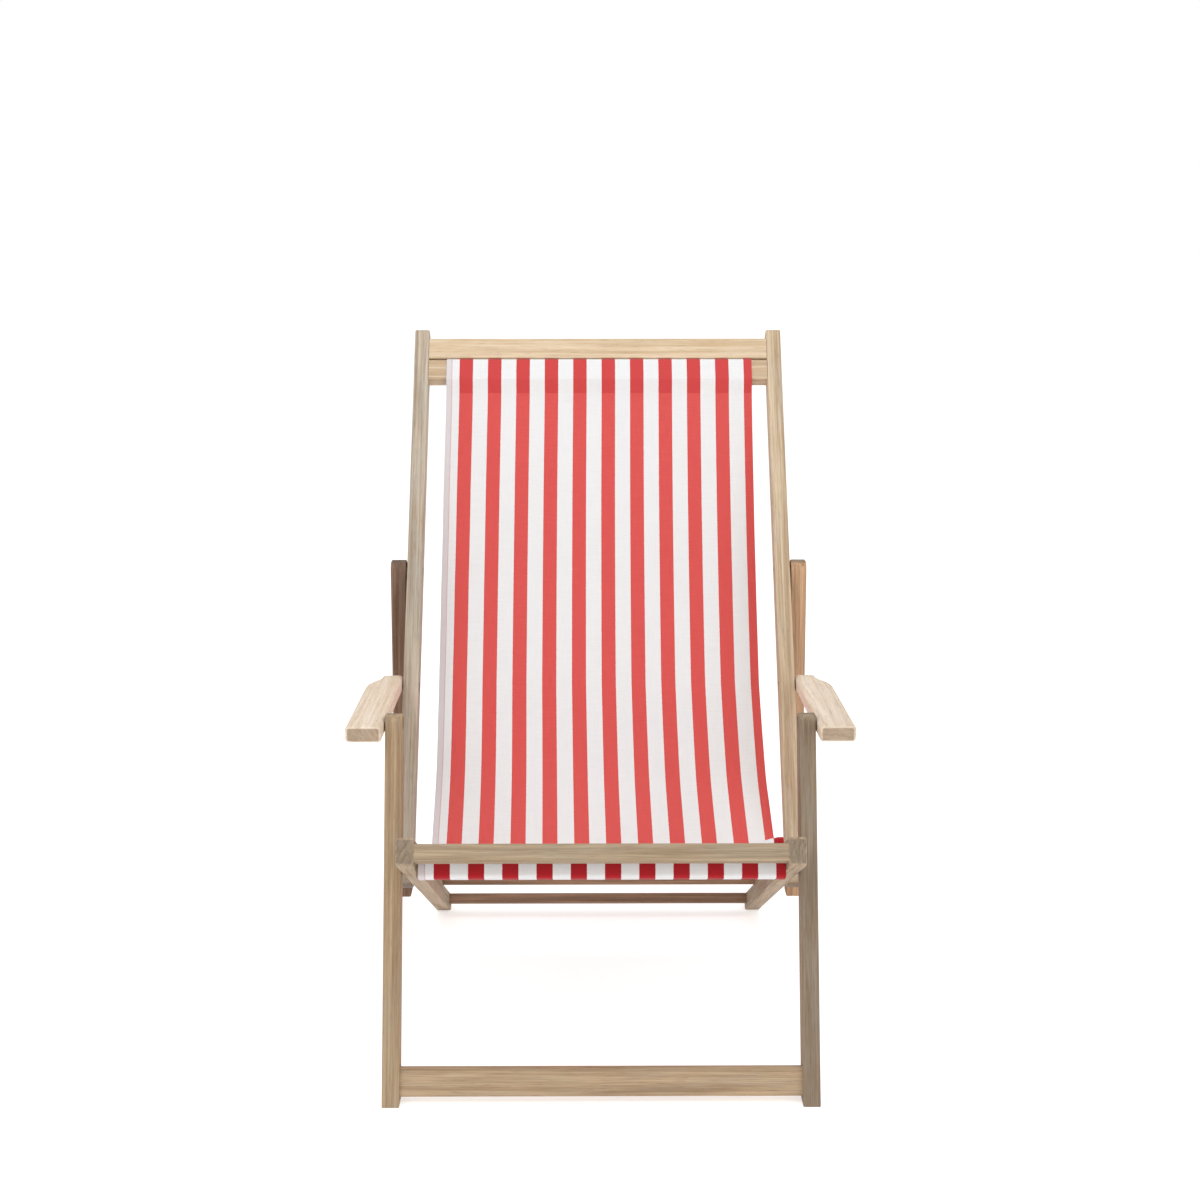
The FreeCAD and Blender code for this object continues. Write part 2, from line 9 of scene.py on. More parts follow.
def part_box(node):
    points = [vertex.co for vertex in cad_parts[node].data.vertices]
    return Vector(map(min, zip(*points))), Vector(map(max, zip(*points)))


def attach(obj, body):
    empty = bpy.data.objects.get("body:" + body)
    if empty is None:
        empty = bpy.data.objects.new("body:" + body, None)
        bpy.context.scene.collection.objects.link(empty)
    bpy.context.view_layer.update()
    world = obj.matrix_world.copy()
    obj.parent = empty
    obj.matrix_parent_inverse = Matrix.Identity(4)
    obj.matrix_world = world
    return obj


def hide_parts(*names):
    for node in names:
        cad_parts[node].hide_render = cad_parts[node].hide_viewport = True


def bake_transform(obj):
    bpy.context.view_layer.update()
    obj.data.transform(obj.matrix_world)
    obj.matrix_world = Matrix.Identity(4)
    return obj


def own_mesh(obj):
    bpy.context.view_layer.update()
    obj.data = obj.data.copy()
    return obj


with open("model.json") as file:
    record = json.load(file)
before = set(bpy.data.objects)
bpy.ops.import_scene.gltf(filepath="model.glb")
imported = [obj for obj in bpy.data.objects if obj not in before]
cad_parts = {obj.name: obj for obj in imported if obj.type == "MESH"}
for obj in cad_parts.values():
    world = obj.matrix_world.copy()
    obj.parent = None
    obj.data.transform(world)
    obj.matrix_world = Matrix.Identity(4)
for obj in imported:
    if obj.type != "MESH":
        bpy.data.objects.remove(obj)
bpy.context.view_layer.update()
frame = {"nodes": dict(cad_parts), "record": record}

MM = 0.001

# --- places, from the frame ----------------------------------------------------------------------
JOINTS = {j["name"]: j for j in frame["record"]["behaviour"]["joints"]}


def pivot(joint):
    """A joint's axis in side view, as an array (y, z) in metres."""
    return np.array(JOINTS[joint]["pos_m"][1:], float)


SEAT_PIVOT = pivot("seat_fold")
BACK_PIVOT = pivot("back_recline")
PROP_PIVOT = pivot("prop_swing")
ALONG_SEAT = (BACK_PIVOT - SEAT_PIVOT) / np.linalg.norm(BACK_PIVOT - SEAT_PIVOT)
ALONG_BACK = (PROP_PIVOT - BACK_PIVOT) / np.linalg.norm(PROP_PIVOT - BACK_PIVOT)
SEAT_ANGLE = math.atan2(ALONG_SEAT[1], ALONG_SEAT[0])
BACK_ANGLE = math.atan2(ALONG_BACK[1], ALONG_BACK[0])
FRONT_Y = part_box("front_leg_left")[0][1]


def off_axis(along):
    """The side-view step square to a member, a quarter turn from +Y towards +Z."""
    return np.array([-along[1], along[0]])


def seat_point(along_mm, up_mm):
    return SEAT_PIVOT + (ALONG_SEAT * along_mm + off_axis(ALONG_SEAT) * up_mm) * MM


def back_point(along_mm, up_mm):
    return BACK_PIVOT + (ALONG_BACK * along_mm + off_axis(ALONG_BACK) * up_mm) * MM


# --- shader helpers ------------------------------------------------------------------------------
def linear(r, g, b):
    """A screen colour from 0 to 255 as the linear colour that shaders take."""
    def channel(c):
        c /= 255
        return c / 12.92 if c <= 0.04045 else ((c + 0.055) / 1.055) ** 2.4
    return channel(r), channel(g), channel(b), 1.0


class Nodes:
    """A short way to write a material's node tree."""

    def __init__(self, name):
        self.material = bpy.data.materials.new(name)
        self.material.use_nodes = True
        self.tree = self.material.node_tree
        self.shader = self.tree.nodes["Principled BSDF"]

    def add(self, kind, inputs=(), **settings):
        node = self.tree.nodes.new(kind)
        for key, value in settings.items():
            setattr(node, key, value)
        for key, value in dict(inputs).items():
            self.put(node.inputs[key], value)
        return node

    def put(self, socket, value):
        if isinstance(value, bpy.types.NodeSocket):
            self.tree.links.new(value, socket)
        else:
            socket.default_value = value

    def math(self, operation, a, b=0.0, clamp=False):
        return self.add("ShaderNodeMath", {0: a, 1: b}, operation=operation, use_clamp=clamp).outputs[0]

    def mix(self, factor, a, b, blend="MIX"):
        node = self.add("ShaderNodeMix", data_type="RGBA", blend_type=blend)
        for socket, value in zip((node.inputs[0], node.inputs[6], node.inputs[7]), (factor, a, b)):
            self.put(socket, value)
        return node.outputs[2]

    def ramp(self, factor, low, high):
        """0 below low, 1 above high, smooth between."""
        node = self.add("ShaderNodeMapRange", interpolation_type="SMOOTHSTEP")
        for key, value in (("Value", factor), ("From Min", low), ("From Max", high)):
            self.put(node.inputs[key], value)
        return node.outputs[0]

    def noise(self, vector, scale, detail=2.0, roughness=0.5, distortion=0.0):
        return self.add("ShaderNodeTexNoise", {
            "Vector": vector, "Scale": scale, "Detail": detail,
            "Roughness": roughness, "Distortion": distortion,
        }).outputs["Fac"]

    def stretched(self, vector, scale, offset=(0, 0, 0)):
        return self.add("ShaderNodeMapping", {
            "Vector": vector, "Scale": scale, "Location": offset,
        }).outputs[0]

    def bump(self, height, strength, distance):
        node = self.add("ShaderNodeBump", {"Height": height, "Strength": strength, "Distance": distance})
        self.put(self.shader.inputs["Normal"], node.outputs[0])


# --- wood ----------------------------------------------------------------------------------------
PAINTED_SHADE_HEIGHTS = (0.2, 0.78)  # painted shade: a stick darkens towards its low end between these heights, for light falling off from above


def wood(name, seed, turn, pale, mid, grey, greying, end_grain, painted_low_shade):
    """Washed hardwood, its grain along +Y once turned by Euler angles. Colours are 0 to 255;
    greying is how much of the grey shows, painted_low_shade how much painted shade darkens the low end."""
    n = Nodes(name)
    place = n.add("ShaderNodeTexCoord").outputs["Object"]
    along = n.add("ShaderNodeMapping", {"Vector": place, "Rotation": turn}).outputs[0]
    shift = (seed * 0.731, seed * 1.377, seed * 0.517)
    figure = n.noise(n.stretched(along, (70, 2.4, 70), shift), 1.0, 3.0, 0.55, 0.9)
    rings = n.noise(n.stretched(along, (260, 4.0, 260), shift), 1.0, 2.0, 0.5, 0.8)
    fibre = n.noise(n.stretched(along, (900, 14, 900), shift), 1.0, 2.0, 0.6)
    pores = n.noise(n.stretched(along, (1500, 45, 1500), shift), 1.0, 1.0, 0.5)
    blotch = n.noise(n.stretched(along, (60, 9, 60), shift), 1.0, 4.0, 0.65, 0.5)

    grain = n.math("ADD", n.math("MULTIPLY", figure, 0.55), n.math("MULTIPLY", rings, 0.45))
    colour = n.mix(n.ramp(grain, 0.36, 0.64), linear(*mid), linear(*pale))
    washed = n.math("MULTIPLY", n.ramp(blotch, 0.42, 0.68), greying)
    colour = n.mix(washed, colour, linear(*grey))
    fine = n.ramp(fibre, 0.3, 0.7)
    coarse = n.math("SUBTRACT", 1.0, fine)
    colour = n.mix(n.math("MULTIPLY", coarse, 0.30), colour, linear(*mid), "MULTIPLY")
    pits = n.ramp(pores, 0.60, 0.72)
    colour = n.mix(n.math("MULTIPLY", pits, 0.3), colour, linear(84, 66, 50))

    # End grain: darker and greyer where the surface faces along the stick.
    facing = n.add("ShaderNodeTexCoord").outputs["Normal"]
    local = n.add("ShaderNodeMapping", {"Vector": facing, "Rotation": turn}, vector_type="VECTOR").outputs[0]
    y = n.add("ShaderNodeSeparateXYZ", {0: local}).outputs["Y"]
    end = n.ramp(n.math("ABSOLUTE", y), 0.75, 0.95)
    tilt = n.add("ShaderNodeMapping", {"Vector": along, "Rotation": (0, 0.7 + 0.3 * seed, 0)}).outputs[0]
    layers = n.noise(n.stretched(tilt, (90, 20, 380), shift), 1.0, 3.0, 0.6, 0.4)
    end_colour = n.mix(n.ramp(layers, 0.3, 0.7), linear(*end_grain[0]), linear(*end_grain[1]))
    colour = n.mix(n.math("MULTIPLY", end, 0.75), colour, end_colour)

    # Painted shade: darker towards the low end, for light falling off from above.
    height = n.add("ShaderNodeSeparateXYZ", {0: place}).outputs["Z"]
    low = n.math("SUBTRACT", 1.0, n.ramp(height, *PAINTED_SHADE_HEIGHTS))
    shade = n.math("MULTIPLY", low, painted_low_shade)
    colour = n.mix(shade, colour, linear(90, 78, 70))
    n.put(n.shader.inputs["Base Color"], colour)
    rough = n.math("ADD", n.math("MULTIPLY", fine, -0.14), 0.74)
    n.put(n.shader.inputs["Roughness"], rough)
    n.shader.inputs["Specular IOR Level"].default_value = 0.35
    ridges = n.math("ADD", fibre, n.math("MULTIPLY", rings, 0.8))
    relief = n.math("SUBTRACT", ridges, n.math("MULTIPLY", pits, 0.9))
    n.bump(relief, 0.35, 0.0004)
    return n.material


def steel(name, tint, rough, seed):
    n = Nodes(name)
    place = n.add("ShaderNodeTexCoord").outputs["Object"]
    scratch = n.noise(n.stretched(place, (260, 1400, 1400), (seed, 0, 0)), 1.0, 3.0, 0.6)
    stain = n.noise(n.stretched(place, (1, 1, 1), (seed, 0, 0)), 240.0, 3.0, 0.6)
    colour = n.mix(n.ramp(stain, 0.45, 0.75), linear(*tint), linear(118, 108, 96))
    n.put(n.shader.inputs["Base Color"], colour)
    n.shader.inputs["Metallic"].default_value = 1.0
    n.put(n.shader.inputs["Roughness"], n.math("ADD", n.math("MULTIPLY", scratch, 0.25), rough))
    n.bump(scratch, 0.15, 0.0001)
    return n.material


# --- canvas --------------------------------------------------------------------------------------
# Millimetres across the cut cloth.
STRIPE_PERIOD = 41.6
RED_WIDTH = 20.0
LEFT_MARGIN = 19.0         # white before the first red stripe
HEM = 8.2                  # hem width, and where its stitches run
STITCH = 3.2
THREAD = 0.9
STRIPE_BLUR = 0.25         # over which a stripe's edge fades
STITCH_HALF_WIDTH = 0.5
STITCH_SHARE = 0.78        # of each stitch's length that shows thread
CUT_WIDTH = 447.0          # across the whole cut cloth
CLOTH_UV = "cloth"         # u across and v along the cut cloth, in metres


def canvas(sleeves):
    """Striped canvas. sleeves says how far along the cloth the front sleeve ends and the top
    one starts, in metres."""
    n = Nodes("striped_canvas")
    uv = n.add("ShaderNodeUVMap", uv_map=CLOTH_UV).outputs[0]
    split = n.add("ShaderNodeSeparateXYZ", {0: uv}).outputs
    u, v = split["X"], split["Y"]
    ragged = n.noise(n.stretched(uv, (1500, 700, 1)), 1.0, 1.0)
    edge = n.math("MULTIPLY", n.math("SUBTRACT", ragged, 0.5), 0.9 * MM)
    across = n.math("ADD", u, edge)

    start = n.math("SUBTRACT", across, LEFT_MARGIN * MM)
    period = n.math("DIVIDE", start, STRIPE_PERIOD * MM)
    phase = n.math("MULTIPLY", n.math("FRACT", period), STRIPE_PERIOD)
    rise = n.ramp(phase, 0.0, STRIPE_BLUR)
    fall = n.ramp(phase, RED_WIDTH - STRIPE_BLUR, RED_WIDTH)
    in_first = n.math("GREATER_THAN", start, 0.0)
    red = n.math("MULTIPLY", n.math("MULTIPLY", rise, n.math("SUBTRACT", 1.0, fall)), in_first)

    # Plain weave: threads across and along, with slubs.
    warp = n.math("SINE", n.math("MULTIPLY", u, 2 * math.pi / (THREAD * MM)))
    weft = n.math("SINE", n.math("MULTIPLY", v, 2 * math.pi / (THREAD * MM)))
    weave = n.math("MULTIPLY", warp, weft)
    slub_along = n.noise(n.stretched(uv, (1400, 30, 1)), 1.0, 2.0)
    slub_across = n.noise(n.stretched(uv, (30, 1400, 1), (4, 9, 0)), 1.0, 2.0)
    slubs = n.math("ADD", slub_along, slub_across)
    cloudy = n.noise(n.stretched(uv, (14, 9, 1), (2, 5, 0)), 1.0, 3.0, 0.6)

    white = n.mix(n.ramp(slubs, 0.7, 1.3), linear(236, 236, 237), linear(242, 242, 242))
    crimson = n.mix(n.ramp(slubs, 0.7, 1.3), linear(217, 84, 81), linear(226, 91, 87))
    # Painted shade: the two sleeves' red is deeper, for the double layer that lets less light through from
    # behind, and the front sleeve's is darkest, for the shade under the front rail.
    front = n.math("SUBTRACT", 1.0, n.ramp(v, sleeves[0] - 0.002, sleeves[0] + 0.002))
    top = n.ramp(v, sleeves[1] - 0.0006, sleeves[1] + 0.0006)
    crimson = n.mix(n.math("MULTIPLY", top, 0.9), crimson, linear(209, 70, 70))
    crimson = n.mix(front, crimson, linear(178, 30, 38))
    colour = n.mix(red, white, crimson)
    soiled = n.math("MULTIPLY", n.ramp(cloudy, 0.5, 0.8), 0.10)
    colour = n.mix(soiled, colour, linear(226, 224, 226), "MULTIPLY")
    dark_gaps = n.ramp(weave, 0.2, 1.0)
    colour = n.mix(n.math("MULTIPLY", dark_gaps, 0.06), colour, linear(120, 80, 80), "MULTIPLY")

    # The hem is double: the red of the turned-in edge shows through it on the left.
    from_right = n.math("SUBTRACT", CUT_WIDTH * MM, u)
    left_hem = n.math("SUBTRACT", 1.0, n.ramp(u, (HEM - 0.4) * MM, HEM * MM))
    colour = n.mix(n.math("MULTIPLY", left_hem, 0.8), colour, linear(235, 224, 226), "MULTIPLY")
    near = [n.math("ABSOLUTE", n.math("SUBTRACT", side, HEM * MM)) for side in (u, from_right)]
    line = n.math("MINIMUM", near[0], near[1])
    on_line = n.math("LESS_THAN", line, STITCH_HALF_WIDTH * MM)
    dash = n.math("LESS_THAN", n.math("FRACT", n.math("DIVIDE", v, STITCH * MM)), STITCH_SHARE)
    stitch = n.math("MULTIPLY", on_line, dash)
    dent = n.math("SUBTRACT", 1.0, n.ramp(line, 0.2 * MM, 1.4 * MM))
    showing = n.math("SUBTRACT", 0.7, n.math("MULTIPLY", red, 0.6))
    colour = n.mix(n.math("MULTIPLY", stitch, showing), colour, linear(214, 120, 130))

    n.put(n.shader.inputs["Base Color"], colour)
    n.shader.inputs["Roughness"].default_value = 0.86
    n.shader.inputs["Specular IOR Level"].default_value = 0.2
    n.shader.inputs["Sheen Weight"].default_value = 0.12
    n.shader.inputs["Sheen Roughness"].default_value = 0.5
    height = n.math("ADD", n.math("MULTIPLY", weave, 0.5), n.math("MULTIPLY", slubs, 0.9))
    height = n.math("ADD", height, n.math("MULTIPLY", stitch, 1.6))
    height = n.math("SUBTRACT", height, n.math("MULTIPLY", dent, 1.8))
    n.bump(height, 0.45, 0.00022)
    return n.material


# --- camera, light, floor ------------------------------------------------------------------------
SENSOR, LENS = 36.0, 71.0              # millimetres
EYE_X, EYE_BEFORE_FOOT, EYE_HEIGHT = -0.0182, 2.659, 1.176
LOOKS_DOWN, TURNS_RIGHT = 11.752, 0.358    # degrees
WORLD_SEEN, WORLD_LIT = 1.0, 0.62
FLOOR_SEEN, FLOOR_LIT = 0.55, 0.3
FLOOR_HALF = 14.0


def camera():
    data = bpy.data.cameras.new("camera")
    data.sensor_width = SENSOR
    data.lens = LENS
    data.dof.use_dof = False
    eye = bpy.data.objects.new("camera", data)
    bpy.context.collection.objects.link(eye)
    eye.location = (EYE_X, FRONT_Y - EYE_BEFORE_FOOT, EYE_HEIGHT)
    eye.rotation_euler = (math.radians(90 - LOOKS_DOWN), 0.0, math.radians(-TURNS_RIGHT))
    bpy.context.scene.camera = eye


def area(name, place, target, size, power, colour=(1, 1, 1)):
    data = bpy.data.lights.new(name, "AREA")
    data.shape = "RECTANGLE"
    data.size, data.size_y = size
    data.energy = power
    data.color = colour
    lamp = bpy.data.objects.new(name, data)
    bpy.context.collection.objects.link(lamp)
    lamp.location = place
    lamp.rotation_euler = (Vector(target) - Vector(place)).to_track_quat("-Z", "Y").to_euler()


def seen_and_lit(tree, seen, lit):
    """A strength that is one value where the camera looks and another for the light it gives."""
    path = tree.nodes.new("ShaderNodeLightPath")
    node = tree.nodes.new("ShaderNodeMapRange")
    tree.links.new(path.outputs["Is Camera Ray"], node.inputs["Value"])
    node.inputs["To Min"].default_value = lit
    node.inputs["To Max"].default_value = seen
    return node.outputs[0]


def studio():
    world = bpy.data.worlds.new("studio")
    world.use_nodes = True
    tree = world.node_tree
    background = tree.nodes["Background"]
    background.inputs["Color"].default_value = (1.0, 1.0, 1.0, 1.0)
    strength = seen_and_lit(tree, WORLD_SEEN, WORLD_LIT)
    tree.links.new(strength, background.inputs["Strength"])
    bpy.context.scene.world = world
    area("key", (-1.5, -2.8, 2.9), (0, 0, 0.4), (2.4, 2.4), 36, (1.0, 0.985, 0.96))
    area("fill", (2.4, -2.4, 1.9), (0, 0, 0.4), (2.0, 2.0), 18, (0.98, 0.99, 1.0))
    area("top", (0, 0.2, 3.4), (0, 0.1, 0), (2.6, 2.6), 22)

    floor = bpy.data.meshes.new("floor")
    half = FLOOR_HALF
    corners = [(-half, -half, 0), (half, -half, 0), (half, half, 0), (-half, half, 0)]
    floor.from_pydata(corners, [], [(0, 1, 2, 3)])
    ground = bpy.data.objects.new("floor", floor)
    bpy.context.collection.objects.link(ground)
    n = Nodes("floor")
    n.shader.inputs["Base Color"].default_value = (0.9, 0.9, 0.9, 1)
    n.shader.inputs["Roughness"].default_value = 0.9
    n.shader.inputs["Emission Color"].default_value = (1, 1, 1, 1)
    n.put(n.shader.inputs["Emission Strength"], seen_and_lit(n.tree, FLOOR_SEEN, FLOOR_LIT))
    ground.data.materials.append(n.material)


# --- the cloth's shape ---------------------------------------------------------------------------
# Side-view points in millimetres: along the seat or the back from its pivot, and square to it.
CLOTH_THICK = 0.9
RAIL_AIR = 0.45                    # between a rail and the cloth's inner face
FABRIC_RAIL = (22.0, 31.0)         # the seat's fabric rail: along the seat, square to it
SEAT_RAIL = (-76.6, -26.5)         # its near low corner
BACK_FABRIC_RAIL = (32.5, 22.0)
BACK_RAIL = (737.2, -5.0)
SEAM = [(722.0, 6.3), (711.0, 2.2)]   # the inner layer's end, sewn behind the outer one
RAIL_ROUND = 4.0
SEAT_SHAPE = [(-54.4, 5.35), (10.9, -2.2), (87.3, -3.0), (147.6, 8.4)]
BACK_SHAPE = [(29.4, 15.5), (49.5, 0.7), (144.5, -44.0), (218.8, -58.6), (298.0, -61.0), (371.0, -59.4),
              (442.0, -54.0), (513.0, -43.6), (580.0, -30.0), (652.0, -12.4), (702.0, 1.0), (719.0, 7.2)]
# Where the cloth's edges are, in X, by distance along the back.
EDGE_ALONG = [29.4, 144.5, 298.0, 442.0, 580.0, 722.0]
LEFT_EDGE = [-220.0, -220.3, -221.0, -221.0, -219.7, -217.2]
RIGHT_EDGE = [230.0, 225.9, 221.8, 221.9, 221.3, 220.6]
SLEEVE_LEFT, SLEEVE_RIGHT = -218.0, 220.0
# The same by distance along the seat, where the cloth lies between or over the seat rails.
SEAT_LEFT_AT, SEAT_LEFT = [-54, -20, 150, 210], [SLEEVE_LEFT, -218.0, -218.6, LEFT_EDGE[0]]
SEAT_RIGHT_AT, SEAT_RIGHT = [-54, -30, 0, 150, 210], [219.4, 219.6, 223.5, 226.5, RIGHT_EDGE[0]]
SEAT_RAIL_TOP = 17.0               # square to the rail's middle line
OVER_RAIL = 1.6                    # how far above the rail the lifted edge passes
LIFT_FROM, LIFT_TO = 152.0, 217.0  # X where the right edge starts to rise, and is up
STEP = 4.0                         # spacing of the cloth's rows and columns
# The cloth's half thickness by distance in from its edge: doubled over the hem.
EDGE_COLUMNS = [0.0, 0.35, 1.0, HEM - 0.6, HEM + 0.6]
HALF_THICK = [0.0, 0.62, 0.8, 0.8, 0.45]


def rounded(points, radius, steps=6):
    """Side-view points with their inner corners rounded."""
    out = [points[0]]
    for before, corner, after in zip(points, points[1:], points[2:]):
        back_way = (before - corner) / np.linalg.norm(before - corner)
        on_way = (after - corner) / np.linalg.norm(after - corner)
        half = math.acos(float(np.clip(back_way @ on_way, -1, 1))) / 2
        if half > math.radians(80):
            out.append(corner)
            continue
        centre = corner + (back_way + on_way) / np.linalg.norm(back_way + on_way) * radius / math.sin(half)
        first = corner + back_way * radius / math.tan(half) - centre
        last = corner + on_way * radius / math.tan(half) - centre
        a0, a1 = (math.atan2(w[1], w[0]) for w in (first, last))
        turn = (a1 - a0 + math.pi) % (2 * math.pi) - math.pi
        for k in range(steps + 1):
            a = a0 + turn * k / steps
            out.append(centre + radius * np.array([math.cos(a), math.sin(a)]))
    return np.array(out + [points[-1]])


def spaced(points, spacing):
    """The same line with points added wherever two are further apart than the spacing."""
    out = [points[0]]
    for a, b in zip(points, points[1:]):
        count = max(1, int(math.ceil(np.linalg.norm(b - a) / spacing)))
        out += [a + (b - a) * k / count for k in range(1, count + 1)]
    return np.array(out)


def curved(points, spacing):
    """A Catmull-Rom curve through side-view points, resampled at an even spacing."""
    padded = np.vstack([2 * points[0] - points[1], points, 2 * points[-1] - points[-2]])
    fine = []
    for p0, p1, p2, p3 in zip(padded, padded[1:], padded[2:], padded[3:]):
        for t in np.linspace(0, 1, 24, endpoint=False):
            fine.append(0.5 * (2 * p1 + (p2 - p0) * t + (2 * p0 - 5 * p1 + 4 * p2 - p3) * t * t
                               + (3 * p1 - p0 - 3 * p2 + p3) * t ** 3))
    fine = np.array(fine + [points[-1]])
    run = np.concatenate([[0], np.cumsum(np.linalg.norm(np.diff(fine, axis=0), axis=1))])
    wanted = np.linspace(0, run[-1], int(round(run[-1] / spacing)) + 1)
    return np.column_stack([np.interp(wanted, run, fine[:, k]) for k in (0, 1)])


def cloth_path():
    """The cloth's middle line in side view, and the rows where its pieces meet."""
    off = RAIL_AIR + CLOTH_THICK / 2
    r = RAIL_ROUND + off
    near, low = SEAT_RAIL[0] - off, SEAT_RAIL[1] - off
    far, high = SEAT_RAIL[0] + FABRIC_RAIL[0] + off, SEAT_RAIL[1] + FABRIC_RAIL[1] + off
    front = [seat_point(*c) for c in (
        (far + 14.0, 1.9), (far, low), (near, low), (near, high), SEAT_SHAPE[0])]
    front = spaced(rounded(front, r * MM), STEP * MM)
    seat = np.array([seat_point(*c) for c in SEAT_SHAPE])
    back = np.array([back_point(*c) for c in BACK_SHAPE])
    hang = curved(np.vstack([seat, back]), STEP * MM)

    near, low = BACK_RAIL[0] - off, BACK_RAIL[1] - off
    far, high = BACK_RAIL[0] + BACK_FABRIC_RAIL[0] + off, BACK_RAIL[1] + BACK_FABRIC_RAIL[1] + off
    top = [back_point(*c) for c in (
        BACK_SHAPE[-1], (near, high), (far, high), (far, low), (near, low), *SEAM)]
    top = spaced(rounded(top, r * MM), STEP * MM)

    path = np.vstack([front[:-1], hang[:-1], top])
    bridge_start = nearest(path, seat_point(*SEAT_SHAPE[-1]))
    bridge_end = nearest(path, back_point(*BACK_SHAPE[0]))
    sleeve_start = len(front) - 1 + len(hang) - 1
    return path, (0, bridge_start, bridge_end, sleeve_start, len(path) - 1)


def nearest(path, point):
    return int(np.argmin(np.linalg.norm(path - point, axis=1)))


def ramp(x, low, high):
    t = np.clip((x - low) / (high - low), 0, 1)
    return t * t * (3 - 2 * t)


def row_span(place):
    """The cloth's left and right edge in X at a side-view place, and its right side's lift."""
    from_back = (place - BACK_PIVOT) / MM
    along, before = from_back @ ALONG_BACK, from_back @ off_axis(ALONG_BACK)
    from_seat = (place - SEAT_PIVOT) / MM
    on_seat, above = from_seat @ ALONG_SEAT, from_seat @ off_axis(ALONG_SEAT)
    if on_seat < SEAT_SHAPE[0][0] + 1:
        return SLEEVE_LEFT, SLEEVE_RIGHT, 0.0
    if along > EDGE_ALONG[0] and before < 20 and on_seat > SEAT_SHAPE[-1][0]:
        left = np.interp(along, EDGE_ALONG, LEFT_EDGE)
        right = np.interp(along, EDGE_ALONG, RIGHT_EDGE)
    else:
        left = np.interp(on_seat, SEAT_LEFT_AT, SEAT_LEFT)
        right = np.interp(on_seat, SEAT_RIGHT_AT, SEAT_RIGHT)
    needed = max(0.0, SEAT_RAIL_TOP + OVER_RAIL - above)
    lift = (needed + 6.0 * math.exp(-((on_seat + 40) / 16) ** 2)) * ramp(on_seat, -55.5, -45)
    lift *= 1 - ramp(on_seat, 215, 245)
    return left, right, lift


def ripple(u, v):
    """How far the cloth stands off its smooth shape: soft waves, stronger along its free edges."""
    soft = noise.noise(Vector((u / 120, v / 260, 1.7))) * 1.1
    soft += noise.noise(Vector((u / 45, v / 70, 5.1))) * 0.35
    edge = min(u, CUT_WIDTH - u)
    side = 9.3 if u < CUT_WIDTH / 2 else 3.1
    return soft + noise.noise(Vector((v / 55, side, 0.4))) * 2.2 * math.exp(-edge / 14)


def sling():
    path, cuts = cloth_path()
    run = np.concatenate([[0], np.cumsum(np.linalg.norm(np.diff(path, axis=0), axis=1))])
    tangent = np.gradient(path, axis=0)
    tangent /= np.linalg.norm(tangent, axis=1)[:, None]
    square = np.column_stack([-tangent[:, 1], tangent[:, 0]])
    columns = EDGE_COLUMNS + list(np.arange(STEP * 3, CUT_WIDTH - STEP * 3 + 0.1, STEP))
    columns = np.array(columns + [CUT_WIDTH - c for c in reversed(EDGE_COLUMNS)])
    share = columns / CUT_WIDTH
    inset = np.minimum(columns, CUT_WIDTH - columns)
    half = np.interp(inset, EDGE_COLUMNS, HALF_THICK)
    # Both ends lie still on their rails; the cloth between them is free to wave.
    top_start = run[cuts[3]]
    free = ramp(run, 0.13, 0.21) * (1 - ramp(run, top_start - 0.07, top_start - 0.01))

    rows = []
    for k, place in enumerate(path):
        left, right, lift = row_span(place)
        x = left + (right - left) * share
        rise = lift * ramp(x, LIFT_FROM, LIFT_TO)
        stand = np.array([ripple(c, run[k] / MM) for c in columns]) * free[k]
        stand *= np.where(rise > 1, 0.4, 1.0)
        y = place[0] + square[k, 0] * stand * MM
        z = place[1] + square[k, 1] * stand * MM + rise * MM
        rows.append(np.column_stack([x * MM, y, z]))
    middle = np.array(rows)
    across = np.gradient(middle, axis=1)
    along = np.gradient(middle, axis=0)
    normal = np.cross(across, along)
    normal /= np.linalg.norm(normal, axis=2)[:, :, None]
    upper = middle + normal * (half * MM)[None, :, None]
    lower = middle - normal * (half * MM)[None, :, None]
    uv = np.stack(np.broadcast_arrays(columns[None, :] * MM, run[:, None]), axis=-1)

    material = canvas((float(run[nearest(path, seat_point(*SEAT_SHAPE[0]))]), float(run[cuts[3]])))
    names = ("sling_seat_cloth", "sling_bridge", "sling_back_cloth", "sling_top_sleeve")
    seat_cloth, bridge, back_cloth, top_cloth = (
        cloth_piece(name, upper, lower, normal, uv, first, last, material)
        for name, first, last in zip(names, cuts, cuts[1:])
    )

    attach(seat_cloth, "seat_frame")
    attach(back_cloth, "back_frame")
    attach(top_cloth, "back_frame")
    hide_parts("sling_seat", "sling_front_sleeve")
    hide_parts("sling_back")
    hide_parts("sling_back_sleeve")
    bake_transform(bridge)
    chord = path[cuts[3]] - path[cuts[2]]
    chord /= np.linalg.norm(chord)
    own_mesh(back_cloth)


